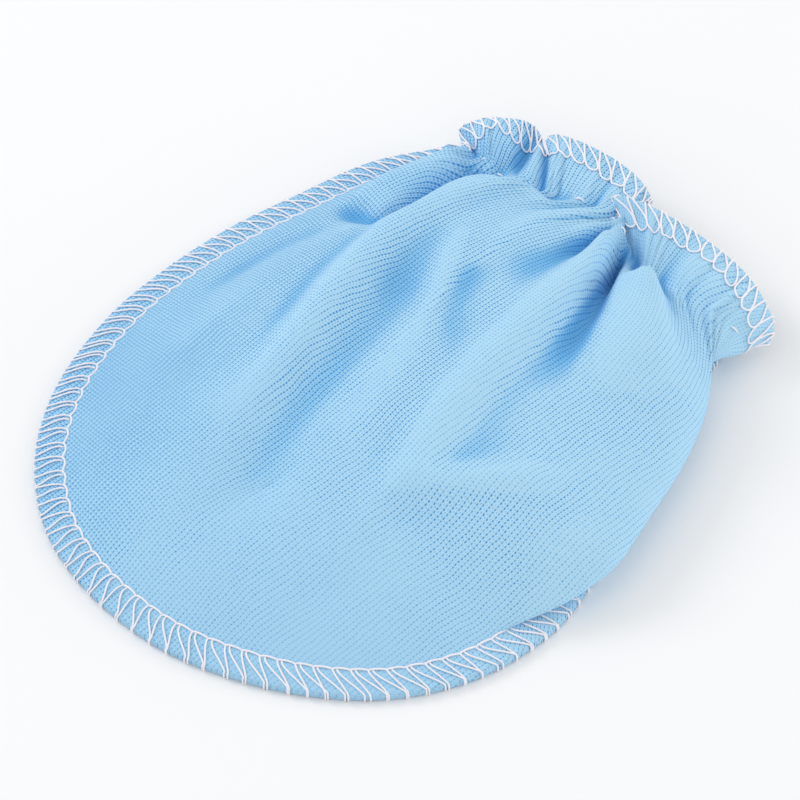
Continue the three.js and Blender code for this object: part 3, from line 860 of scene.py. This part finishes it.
def cloth_lengths(points, at):
    """Millimetres of cloth across and along the panel, for the knit to follow."""
    half = points.shape[1] // 2
    plain = plain_body(at["side"], at["row"], at["across"])
    flat = np.where((at["seam"] < 1)[..., None], points, plain)
    run = cloth_run(flat, 1, 0)
    u = np.concatenate([np.zeros((len(points), 1)), np.cumsum(run, axis=1)], 1)
    u = u - u[:, half : half + 1]
    first = int(np.argmax(at["beyond"][:, 0] <= 0))
    left = -u[:, 0]
    right = u[:, -1]
    for width, columns in ((left, slice(0, half)), (right, slice(half, None))):
        widest = first + int(np.argmax(width[first:]))
        stretch = np.where(np.arange(len(points)) < widest, width[widest] / np.maximum(width, TINY), 1)
        stretch[:first] = stretch[first]
        u[:, columns] *= stretch[:, None]
    u[:first] = u[first]
    on_ruffle = np.linalg.norm(np.diff(points, axis=0), axis=-1)
    run = np.where(at["beyond"][:-1] > 0, on_ruffle, cloth_run(flat, 0, 1))
    v = np.concatenate([np.zeros((1, points.shape[1])), np.cumsum(run, axis=0)], 0)
    v = v - v[first]
    meet = smoothstep(at["row"], *HALVES_MEET)
    u = u + (u[-1, ::-1] - u[-1]) / 2 * meet
    v = v + (v[-1, ::-1] - v[-1]) / 2 * meet
    lean = math.radians(WALE_LEAN)
    return u * math.cos(lean) + v * math.sin(lean), v * math.cos(lean) - u * math.sin(lean)


def mesh_object(name, points, faces, uvs, hollow):
    """A new object from points in the drafting frame's millimetres."""
    mesh = bpy.data.meshes.new(name)
    placed = (np.asarray(points) + drafting_origin) * MM
    mesh.from_pydata(placed.tolist(), [], faces.tolist())
    layer = mesh.uv_layers.new(name="cloth")
    corners = np.empty(len(mesh.loops), dtype=np.int32)
    mesh.loops.foreach_get("vertex_index", corners)
    layer.data.foreach_set("uv", np.asarray(uvs, np.float32)[corners].ravel())
    attribute = mesh.attributes.new(name="hollow", type="FLOAT", domain="POINT")
    attribute.data.foreach_set("value", np.asarray(hollow, np.float32))
    mesh.update()
    mesh.polygons.foreach_set("use_smooth", np.ones(len(mesh.polygons), dtype=bool))
    obj = bpy.data.objects.new(name, mesh)
    bpy.context.scene.collection.objects.link(obj)
    return obj


def wall(name, over, under, u, v, hollow):
    """A closed wall of cloth between two grids whose last rows are folded together."""
    rows, columns = over.shape[0] - 1, over.shape[1] - 1
    half = columns // 2
    numbers = np.arange((rows + 1) * (columns + 1)).reshape(rows + 1, columns + 1)
    numbers[rows, half + 1 :] = numbers[rows, :half][::-1]
    a, b, c, d = numbers[:-1, :-1], numbers[1:, :-1], numbers[1:, 1:], numbers[:-1, 1:]
    faces = np.stack([a, b, c, d], -1).reshape(-1, 4)
    below = over.shape[0] * over.shape[1]
    rim = np.concatenate([numbers[rows:0:-1, 0], numbers[0, :columns], numbers[:rows, columns]])
    ahead = np.roll(rim, -1)
    sides = np.stack([ahead, ahead + below, rim + below, rim], -1)
    all_faces = np.concatenate([faces, faces[:, ::-1] + below, sides])
    points = np.concatenate([over.reshape(-1, 3), under.reshape(-1, 3)])
    used = np.unique(all_faces)
    renumber = np.zeros(len(points), dtype=int)
    renumber[used] = np.arange(len(used))
    uv = np.stack([u, v], -1).reshape(-1, 2)
    both = np.concatenate([hollow.ravel(), 0 * hollow.ravel()])
    return mesh_object(name, points[used], renumber[all_faces], np.concatenate([uv, uv])[used], both[used])


class Band:
    """A strip of cloth along a cut edge that stitches lie on, from the edge (0) to the needle line (1)."""

    def __init__(self, over, under, over_normals, under_normals):
        self.over = over
        self.under = under
        self.over_normals = over_normals
        self.under_normals = under_normals
        steps = np.linalg.norm(np.diff(over[:, -1], axis=0), axis=-1)
        self.places = np.concatenate([[0], np.cumsum(steps)])
        self.length = self.places[-1]

    def read(self, grid, s, d):
        """A grid's value s millimetres along the edge and d widths in from it."""
        across = grid.shape[1] - 1
        place = np.interp(s, self.places, np.arange(len(self.places)))
        i = np.clip(place.astype(int), 0, len(self.places) - 2)
        inward = np.clip(d, 0, STITCH_REACH) * across
        j = np.clip(inward.astype(int), 0, across - 1)
        wi = (place - i)[:, None]
        wj = (inward - j)[:, None]
        near = lerp(grid[i, j], grid[i + 1, j], wi)
        far = lerp(grid[i, j + 1], grid[i + 1, j + 1], wi)
        return lerp(near, far, wj)

    def lifted(self, face, normals, s, d, lift):
        return self.read(face, s, d) + unit(self.read(normals, s, d)) * np.reshape(lift, (-1, 1))

    def top(self, s, d, lift):
        return self.lifted(self.over, self.over_normals, s, d, lift)

    def bottom(self, s, d, lift):
        return self.lifted(self.under, self.under_normals, s, d, lift)

    def round_edge(self, s, radius):
        """Points that carry a thread from the upper face round the cut edge to the under face."""
        s = np.array([s])
        edge = self.read(self.over, s, np.array([0.0]))[0]
        inner = self.read(self.over, s, np.array([EDGE_TURN["aim"]]))[0]
        low = self.read(self.under, s, np.array([0.0]))[0]
        outward = unit(edge - inner)
        upward = unit(edge - low)
        above = upward * radius * EDGE_TURN["above"]
        beside = outward * radius * EDGE_TURN["beside"]
        outermost = (edge + low) / 2 + outward * radius * EDGE_TURN["out"]
        return [edge + above + beside, outermost, low - above + beside]


def thread_object(name, paths, radii):
    """Threads laid along paths, as closed round tubes in one mesh."""
    curve = bpy.data.curves.new(name, "CURVE")
    curve.dimensions = "3D"
    curve.bevel_depth = MM
    curve.bevel_resolution = THREAD["roundness"]
    curve.use_fill_caps = True
    for path, radius in zip(paths, radii):
        placed = (np.asarray(path) + drafting_origin) * MM
        line = curve.splines.new("POLY")
        line.points.add(len(placed) - 1)
        line.points.foreach_set("co", np.column_stack([placed, np.ones(len(placed))]).ravel())
        line.points.foreach_set("radius", np.full(len(placed), radius))
        line.use_smooth = True
    obj = bpy.data.objects.new(name, curve)
    bpy.context.scene.collection.objects.link(obj)
    bpy.ops.object.select_all(action="DESELECT")
    obj.select_set(True)
    bpy.context.view_layer.objects.active = obj
    bpy.ops.object.convert(target="MESH")
    bpy.ops.object.shade_smooth()
    return bpy.context.view_layer.objects.active


def run_through(points, count):
    return spline(points, np.linspace(0, 1, count))


seam_legs = Table(**SEAM_LEGS)


def seam_stitches(band, rng):
    """Overlock round the hand: a needle thread, and pairs of looper legs over the cut edge and back under."""
    count = int(band.length / SEAM_STITCH["pitch"])
    pitch = band.length / count
    leg, needle = THREAD["leg"], THREAD["needle"]
    down, away, up = np.array(SEAM_LEG_OUT).T
    back_along, back_across = np.array(SEAM_LEG_BACK).T
    paths = []
    radii = []
    line = []
    for k in range(count):
        along = k / (count - 1)
        scallop = lerp(*SEAM_STITCH["scallop"], smoothstep(along, *SEAM_STITCH["scallop_changes"]))
        s = (k + SEAM_STITCH["begins"]) * pitch + rng.normal(0, SEAM_SPREAD["place"])
        for share, bulge, rise in SEAM_NEEDLE:
            place = np.array([min(s + share * pitch, band.length)])
            across = np.array([1 + bulge * scallop / SEAM_WIDTH])
            line.append(band.top(place, across, needle * rise)[0])
        lean = rng.normal(0, SEAM_SPREAD["lean"])
        for start, leg_name in ((0.0, "first"), (SEAM_STITCH["pair"], "second")):
            begin = s + start + rng.normal(0, SEAM_SPREAD["begin"])
            own_lean = float(seam_legs(np.array(along), leg_name))
            end = begin + own_lean + lean + rng.normal(0, SEAM_SPREAD["end"])
            over = band.top(np.clip(begin + (end - begin) * away, 0, band.length), down, leg * up)
            turn = band.round_edge(min(end, band.length), leg)
            under = band.bottom(np.clip(end + back_along, 0, band.length), back_across, leg)
            paths.append(run_through([*over, *turn, *under], SEAM_STITCH["points"]))
            radii.append(leg)
    paths.append(run_through(line, len(line) * 2))
    radii.append(needle)
    return paths, radii


def cuff_stitches(band, rng):
    """Overlock of the ruffle: teardrop loops from the cut edge to the needle line."""
    count = int(band.length / CUFF_STITCH["pitch"])
    pitch = band.length / count
    leg = THREAD["leg"] * CUFF_STITCH["thickness"]
    spots, downs = np.array(CUFF_LOOP).T
    lift = np.where(downs > CUFF_STITCH["rise_from"], leg * CUFF_STITCH["rise"], leg)
    back_along, back_across = np.array(CUFF_LOOP_BACK).T
    paths = []
    for k in range(count):
        s = (k + CUFF_STITCH["begins"]) * pitch + rng.normal(0, CUFF_SPREAD["place"])
        lean = CUFF_STITCH["lean"] * pitch + rng.normal(0, CUFF_SPREAD["lean"])
        wide = rng.uniform(*CUFF_STITCH["width"])
        places = np.clip(s + spots * pitch * wide + lean * (1 - downs), 0, band.length)
        over = band.top(places, downs, lift)
        start = band.round_edge(places[0], leg)[::-1]
        end = band.round_edge(places[-1], leg)
        under = band.bottom(np.clip(places[-1] + back_along, 0, band.length), back_across, leg)
        paths.append(run_through([*start, *over, *end, *under], CUFF_STITCH["points"]))
    return paths, [leg] * len(paths)


class Socket:
    """A shader value that Python's operators turn into Math nodes."""

    tree = None

    def __init__(self, socket):
        self.socket = socket

    @classmethod
    def node(cls, kind, settings=None, **inputs):
        """A node with its settings, and the values or links of its sockets, by name or as i and a number."""
        node = cls.tree.nodes.new(kind)
        for key, value in (settings or {}).items():
            setattr(node, key, value)
        for key, value in inputs.items():
            numbered = key[0] == "i" and key[1:].isdigit()
            target = node.inputs[int(key[1:])] if numbered else node.inputs[key.replace("_", " ")]
            if isinstance(value, Socket):
                cls.tree.links.new(value.socket, target)
            else:
                target.default_value = value
        return node

    @classmethod
    def math(cls, operation, *values):
        inputs = {f"i{n}": value for n, value in enumerate(values)}
        return cls(cls.node("ShaderNodeMath", {"operation": operation}, **inputs).outputs[0])

    def __add__(self, other):
        return self.math("ADD", self, other)

    def __radd__(self, other):
        return self.math("ADD", other, self)

    def __sub__(self, other):
        return self.math("SUBTRACT", self, other)

    def __rsub__(self, other):
        return self.math("SUBTRACT", other, self)

    def __mul__(self, other):
        return self.math("MULTIPLY", self, other)

    def __rmul__(self, other):
        return self.math("MULTIPLY", other, self)

    def __truediv__(self, other):
        return self.math("DIVIDE", self, other)

    def fract(self):
        return self.math("FRACT", self)

    def abs(self):
        return self.math("ABSOLUTE", self)

    def cos(self):
        return self.math("COSINE", self)

    def at_most(self, limit):
        return self.math("MINIMUM", self, limit)

    def smooth(self, lowest, highest):
        """0 up to lowest, 1 from highest on, and smooth between them."""
        inputs = {"Value": self, "From_Min": lowest, "From_Max": highest}
        found = self.node("ShaderNodeMapRange", {"interpolation_type": "SMOOTHSTEP"}, **inputs)
        return Socket(found.outputs["Result"])


def noise(vector, scale, detail):
    node = Socket.node("ShaderNodeTexNoise", Vector=vector, Scale=scale, Detail=detail)
    return Socket(node.outputs["Fac"])


def mix(factor, first, second):
    """first where factor is 0, second where it is 1."""
    node = Socket.node("ShaderNodeMix", {"data_type": "RGBA"}, i0=factor, i6=first, i7=second)
    return Socket(node.outputs[2])


def new_material(name, surface):
    """A material, and its shader with the values that are the same all over the surface."""
    material = bpy.data.materials.new(name)
    material.use_nodes = True
    Socket.tree = material.node_tree
    shader = material.node_tree.nodes["Principled BSDF"]
    for key, value in surface.items():
        shader.inputs[key].default_value = value
    return material, shader


def feed(shader, name, value):
    Socket.tree.links.new(value.socket, shader.inputs[name])


def emboss(shader, height, strength, reach):
    """Relief whose height from 0 to 1 is reach millimetres."""
    bump = Socket.node("ShaderNodeBump", Strength=strength, Distance=reach * MM, Height=height)
    feed(shader, "Normal", Socket(bump.outputs["Normal"]))


def stitch_wave(rows):
    """0 at each whole row of stitches and 1 halfway to the next."""
    return 0.5 - 0.5 * (rows * math.tau).cos()


def dot_strength(place, u, v, hollow):
    """How deep the knit's dots are: more in hollows as painted shade, more at the left and in patches, less
    on ridges.
    """
    patch = noise(place, *CLOTH_NOISE["patch"]).smooth(*PATCH)
    patchy = DOT_DEPTH["plain"] + DOT_DEPTH["patch"] * patch
    # Painted shade: the dots go deeper in hollows
    sunk = 1 + DOT_DEPTH["hollow"] * hollow.smooth(*JERSEY_TONES["hollow_from"])
    lean = math.radians(WALE_LEAN)
    aside = u * math.cos(lean) - v * math.sin(lean)
    left = DOT_DEPTH["left"] - (DOT_DEPTH["left"] - DOT_DEPTH["not_left"]) * aside.smooth(*LEFT)
    at_fingertips = v.smooth(*FINGERTIPS) * aside.smooth(*FINGERTIPS_ASIDE)
    rest = 1 - DOT_DEPTH["fingertips"] * at_fingertips - DOT_DEPTH["right"] * aside.smooth(*RIGHT)
    return patchy * left * rest * sunk


def jersey_material(name):
    """Single jersey: ribs of V stitches, with dark dots between each two ribs and down the middle of each."""
    material, shader = new_material(name, JERSEY_SURFACE)
    place = Socket(Socket.node("ShaderNodeUVMap", {"uv_map": "cloth"}).outputs[0])
    split = Socket.node("ShaderNodeSeparateXYZ", i0=place)
    u, v = Socket(split.outputs["X"]), Socket(split.outputs["Y"])
    hollow = Socket(Socket.node("ShaderNodeAttribute", {"attribute_name": "hollow"}).outputs["Fac"])

    # Ribs and rows of stitches, which sway a little
    rib = (u + (noise(place, *CLOTH_NOISE["rib_sway"]) - 0.5) * SWAY["rib"]) / WALE
    row = (v + (noise(place, *CLOTH_NOISE["row_sway"]) - 0.5) * SWAY["row"]) / COURSE
    from_middle = (rib.fract() - 0.5).abs()
    climb = row - from_middle * STITCH_CLIMB
    step = stitch_wave(climb)

    # Dots
    line = from_middle.smooth(*DOTS_BETWEEN["across"])
    middle = 1 - from_middle.smooth(*DOTS_MIDDLE["across"])
    uneven = noise(place, *CLOTH_NOISE["uneven"]).smooth(*UNEVEN)
    dot = (1 - step.smooth(*DOTS_BETWEEN["along"])) * (DOTS_BETWEEN["dot"] + DOTS_BETWEEN["uneven"] * uneven)
    middle_dot = 1 - stitch_wave(climb + 0.5).smooth(*DOTS_MIDDLE["along"])
    middle_depth = middle * middle_dot * (DOTS_MIDDLE["dot"] + DOTS_MIDDLE["uneven"] * uneven)
    slack = 1 - DOT_DEPTH["ridge"] * (hollow * -1).smooth(*JERSEY_TONES["ridge_from"])
    depth = (line * (DOTS_BETWEEN["line"] + dot) + middle_depth) * slack * dot_strength(place, u, v, hollow)

    # Tones, with painted shade in hollows, in creases and towards the fingertips
    in_hollow = hollow.smooth(*JERSEY_TONES["shade_from"]) * JERSEY_TONES["shade_most"]
    shaded = in_hollow + JERSEY_TONES["shade_at_fingertips"] * v.smooth(*FINGERTIPS)
    # Painted shade in creases, darker than the shade in the hollows
    crease_shade = JERSEY_TONES["crease_shade_most"] * hollow.smooth(*JERSEY_TONES["crease_shade_from"])
    tone = mix(shaded, JERSEY_TONES["light"], JERSEY_TONES["shade"])
    tone = mix(crease_shade, tone, JERSEY_TONES["crease_shade"])
    feed(shader, "Base Color", mix(depth.at_most(1.0), tone, JERSEY_TONES["deep"]))

    # Relief
    fibre = noise(place, *CLOTH_NOISE["fibre"]) * JERSEY_RELIEF["fibre"]
    ribs = (step * JERSEY_RELIEF["stitch"] + JERSEY_RELIEF["rib"]) * (1 - line)
    height = ribs - middle * JERSEY_RELIEF["middle"] + fibre
    emboss(shader, height * slack, JERSEY_RELIEF["strength"], JERSEY_RELIEF["height"])
    return material


def thread_material():
    """Twisted polyester sewing thread, white with a faint lilac cast."""
    material, shader = new_material("sewing_thread", THREAD_SURFACE)
    place = Socket(Socket.node("ShaderNodeTexCoord").outputs["Object"])
    fibres = noise(place, *THREAD_FINISH["noise"])
    feed(shader, "Base Color", mix(fibres, THREAD_FINISH["dark"], THREAD_FINISH["light"]))
    emboss(shader, fibres, THREAD_FINISH["strength"], THREAD_FINISH["height"])
    return material


def elastic_material():
    """Woven white elastic with fine ribs along it and across it."""
    material, shader = new_material("woven_elastic", ELASTIC_SURFACE)
    place = Socket(Socket.node("ShaderNodeTexCoord").outputs["Object"])
    split = Socket.node("ShaderNodeSeparateXYZ", i0=place)
    along = Socket(split.outputs["X"]) * (math.tau / (ELASTIC_FINISH["along"] * MM))
    across = Socket(split.outputs["Y"]) * (math.tau / (ELASTIC_FINISH["across"] * MM))
    weave = 0.5 + 0.25 * along.cos() + 0.25 * across.cos()
    feed(shader, "Base Color", mix(weave, ELASTIC_FINISH["dark"], ELASTIC_FINISH["light"]))
    emboss(shader, weave, ELASTIC_FINISH["strength"], ELASTIC_FINISH["height"])
    return material


def dress(obj, material):
    obj.data.materials.clear()
    obj.data.materials.append(material)


# The drafting frame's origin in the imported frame: both know the leftmost and lowest point of the cut edge
cut_edge = spline(OUTLINE, np.linspace(0, 1, OUTLINE_READINGS))
lower_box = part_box("lower_panel")
drafting_origin = np.array(
    [lower_box[0][0] / MM - cut_edge[:, 0].min(), lower_box[0][1] / MM - cut_edge[:, 1].min(), 0.0]
)

# Upper panel
upper_over, upper_at = upper_surface()
upper_normals = grid_normals(upper_over)
on_flange = upper_at["seam"] < 1
upper_normals[on_flange] = (0, 0, 1)
upper_under = upper_over - upper_normals * (JERSEY - thinned(upper_at))[..., None]
upper_u, upper_v = cloth_lengths(upper_over, upper_at)
upper_hollow = hollows(upper_over, upper_normals, upper_at)
upper = wall("upper_jersey", upper_over, upper_under, upper_u, upper_v, upper_hollow)

# Under panel
lower_over, lower_under, lower_at = lower_surface()
lower_u, lower_v = cloth_lengths(lower_over, lower_at)
lower = wall("under_jersey", lower_over, lower_under, lower_u, lower_v, 0 * lower_u)

rng = np.random.default_rng(SEED)


def seam_band():
    """The overlocked edge round the hand, from the left of the cuff round the fingertips to the right."""
    columns = UPPER_CELLS["seam"] + 1
    left = upper_over[:, :columns]
    right = upper_over[:-1, ::-1][::-1, :columns]
    over = np.concatenate([left, right])
    under = over.copy()
    under[..., 2] = THREAD_ROOM
    up = np.zeros_like(over)
    up[..., 2] = 1
    return Band(over, under, up, -up)


def cuff_band(over, under, normals, cells):
    """The strip along the ruffle's cut edge that its overlock covers, from seam to seam."""
    rows = cells["ruffle"] + 1
    numbers = np.arange(rows)
    wanted = np.linspace(0, CUFF_SEAM_WIDTH, CUFF_STEPS)
    strips = []
    for grid in (over, under, normals):
        strip = []
        for j in range(cells["seam"], 2 * cells["half"] - cells["seam"] + 1):
            steps = np.linalg.norm(np.diff(over[:rows, j], axis=0), axis=-1)
            places = np.interp(wanted, np.concatenate([[0], np.cumsum(steps)]), numbers)
            strip.append(np.stack([np.interp(places, numbers, grid[:rows, j, k]) for k in range(3)], -1))
        strips.append(np.array(strip))
    over_strip, under_strip, normal_strip = strips
    return Band(over_strip, under_strip, normal_strip, -normal_strip)


def elastic_stitches():
    """Short stitches of the elastic that show between the gathers."""
    row = UPPER_CELLS["ruffle"]
    middle = UPPER_CELLS["half"]
    line = upper_over[row]
    paths = []
    for share in ELASTIC_STITCHES:
        j = int(round(middle + share * (middle - UPPER_CELLS["seam"])))
        half = unit(line[j + 1] - line[j - 1]) * ELASTIC_STITCH_LENGTH / 2
        normal = upper_normals[row, j]
        points = [line[j] + half * along + normal * up for along, up in ELASTIC_STITCH]
        paths.append(run_through(points, ELASTIC_STITCH_POINTS))
    return paths, [THREAD["elastic"]] * len(paths)


# Sewing
upper_cuff = cuff_band(upper_over, upper_under, upper_normals, UPPER_CELLS)
lower_cuff = cuff_band(lower_over, lower_under, grid_normals(lower_over), LOWER_CELLS)
seam_threads = thread_object("seam_overlock", *seam_stitches(seam_band(), rng))
cuff_threads = thread_object("cuff_overlock", *cuff_stitches(upper_cuff, rng))
under_cuff_threads = thread_object("under_cuff_overlock", *cuff_stitches(lower_cuff, rng))
wrist_threads = thread_object("elastic_stitches", *elastic_stitches())

# Finishes
dress(upper, jersey_material("sky_blue_jersey"))
dress(lower, jersey_material("sky_blue_jersey_under"))
white_thread = thread_material()
for threads in (seam_threads, cuff_threads, under_cuff_threads, wrist_threads):
    dress(threads, white_thread)
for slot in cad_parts["wrist_elastic"].material_slots:
    slot.material = elastic_material()

# Each piece hangs from the root, and the CAD panels that the cloth takes the place of are hidden
for piece in (upper, lower, seam_threads, cuff_threads, under_cuff_threads, wrist_threads):
    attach(piece, "root")
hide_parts("upper_panel")
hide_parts("lower_panel")

# Table
bpy.ops.object.select_all(action="DESELECT")
bpy.ops.mesh.primitive_plane_add(size=TABLE_SIZE, location=(0, 0, 0))
table = bpy.context.active_object
table.name = "table"
dress(table, new_material("pale_table", TABLE_SURFACE)[0])

# Tent
scene = bpy.context.scene
scene.world = bpy.data.worlds.new("tent")
scene.world.use_nodes = True
for key, value in TENT.items():
    scene.world.node_tree.nodes["Background"].inputs[key].default_value = value


def stand(name, data, target, azimuth, elevation, distance):
    """A lamp or camera that looks at the target. Azimuth 0 is on the fingertips' side."""
    obj = bpy.data.objects.new(name, data)
    a, e = math.radians(azimuth), math.radians(elevation)
    way = Vector((math.sin(a) * math.cos(e), -math.cos(a) * math.cos(e), math.sin(e)))
    obj.location = target + way * distance
    obj.rotation_mode = "QUATERNION"
    obj.rotation_quaternion = way.to_track_quat("Z", "Y")
    scene.collection.objects.link(obj)
    return obj


# Lamps
for name, lamp in LAMPS.items():
    data = bpy.data.lights.new(name, "AREA")
    data.shape = "DISK"
    data.size = lamp["size"]
    data.energy = lamp["power"]
    azimuth = CAMERA["azimuth"] + lamp["turn"]
    stand(name, data, Vector((0, 0, 0)), azimuth, lamp["elevation"], lamp["distance"])

# Camera
camera_data = bpy.data.cameras.new("camera")
camera_data.lens = CAMERA["lens"]
camera_data.sensor_width = CAMERA["sensor"]
target = Vector(drafting_origin * MM)
camera = stand("camera", camera_data, target, CAMERA["azimuth"], CAMERA["elevation"], CAMERA["distance"])
scene.camera = camera

scene.view_settings.view_transform = "Standard"
